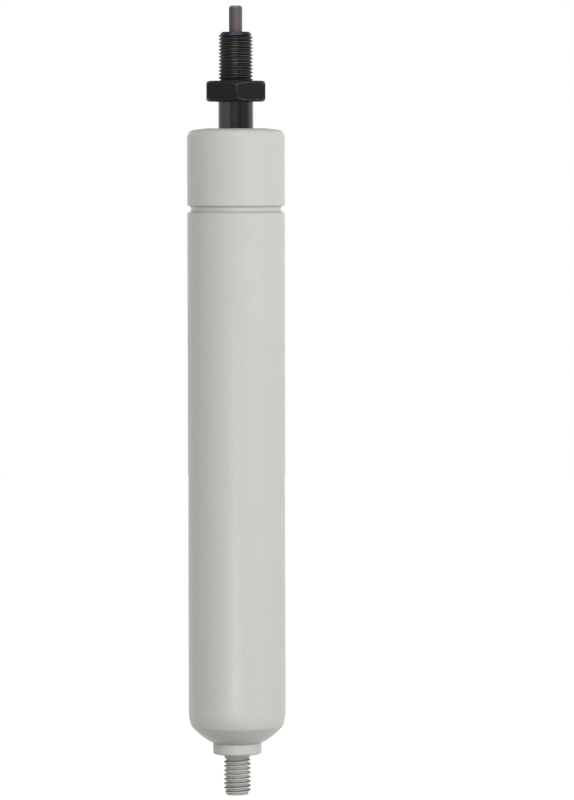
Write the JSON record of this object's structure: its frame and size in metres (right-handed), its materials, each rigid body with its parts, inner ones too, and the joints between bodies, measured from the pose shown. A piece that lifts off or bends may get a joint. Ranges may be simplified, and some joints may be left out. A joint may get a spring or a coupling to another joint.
{
  "type": "lockable gas spring",
  "caption": "Lockable gas spring: pale painted tube with a rolled groove and domed end, threaded end stud, black threaded rod with a lock nut, and a release pin in the rod's end.",
  "frame": {"origin": "on the spring's axis, on the underside of the end stud's collar, where it seats on a bracket", "axes": "+Z along the axis from the end stud to the rod end; +X and +Y square to it, with a corner of the lock nut towards -Y"},
  "size_m": [0.028, 0.028, 0.2271],
  "materials": {
    "tube_paint": "satin light grey paint over steel",
    "nitrided_steel": "ground and nitrided, near black",
    "blackened_steel": "black oxide, satin",
    "pin_steel": "bare drawn steel, dulled",
    "bright_steel": "turned bright steel",
    "cast_aluminium": "turned aluminium",
    "bearing_bronze": "sintered bronze",
    "seal_rubber": "moulded nitrile rubber",
    "glide_plastic": "filled low-friction plastic"
  },
  "bodies": {
    "cylinder": {"pressure_tube": "tube_paint", "end_stud": "tube_paint", "guide_bush": "cast_aluminium", "guide_bearing": "bearing_bronze", "guide_o_ring": "seal_rubber", "rod_seal": "seal_rubber", "seal_support_ring": "bright_steel"},
    "piston_rings": {"piston_seal": "seal_rubber", "piston_guide_ring": "glide_plastic"},
    "rod": {"piston_rod": "nitrided_steel", "piston_body": "cast_aluminium", "valve_stem_seal": "seal_rubber", "valve_spacer": "bearing_bronze", "valve_seat_seal": "seal_rubber", "valve_retainer": "bright_steel"},
    "lock_nut": {"lock_nut": "blackened_steel"},
    "release": {"release_pin": "pin_steel", "valve_pin": "bright_steel"},
    "separator": {"separator_piston": "cast_aluminium", "separator_seal": "seal_rubber"}
  },
  "joints": [
    {"name": "rod_slide", "type": "slide", "parent": "cylinder", "child": "piston_rings", "axis": [0, 0, 1], "range_m": [0, 0.08]},
    {"name": "rod_swivel", "type": "hinge", "parent": "piston_rings", "child": "rod", "pos_m": [0, 0, 0], "axis": [0, 0, 1], "continuous": true},
    {"name": "lock_nut_travel", "type": "slide", "parent": "rod", "child": "lock_nut", "axis": [0, 0, 1], "range_m": [0, 0.0128]},
    {"name": "release_pin_press", "type": "slide", "parent": "rod", "child": "release", "axis": [0, 0, -1], "range_m": [0, 0.003], "stiffness_N_per_m": 600, "springref_m": -0.0008},
    {"name": "separator_slide", "type": "slide", "parent": "cylinder", "child": "separator", "axis": [0, 0, 1], "range_m": [0, 0.0128]}
  ],
  "couplings": [
    {"joint": "separator_slide", "follows": "rod_slide", "ratio": 0.16}
  ]
}
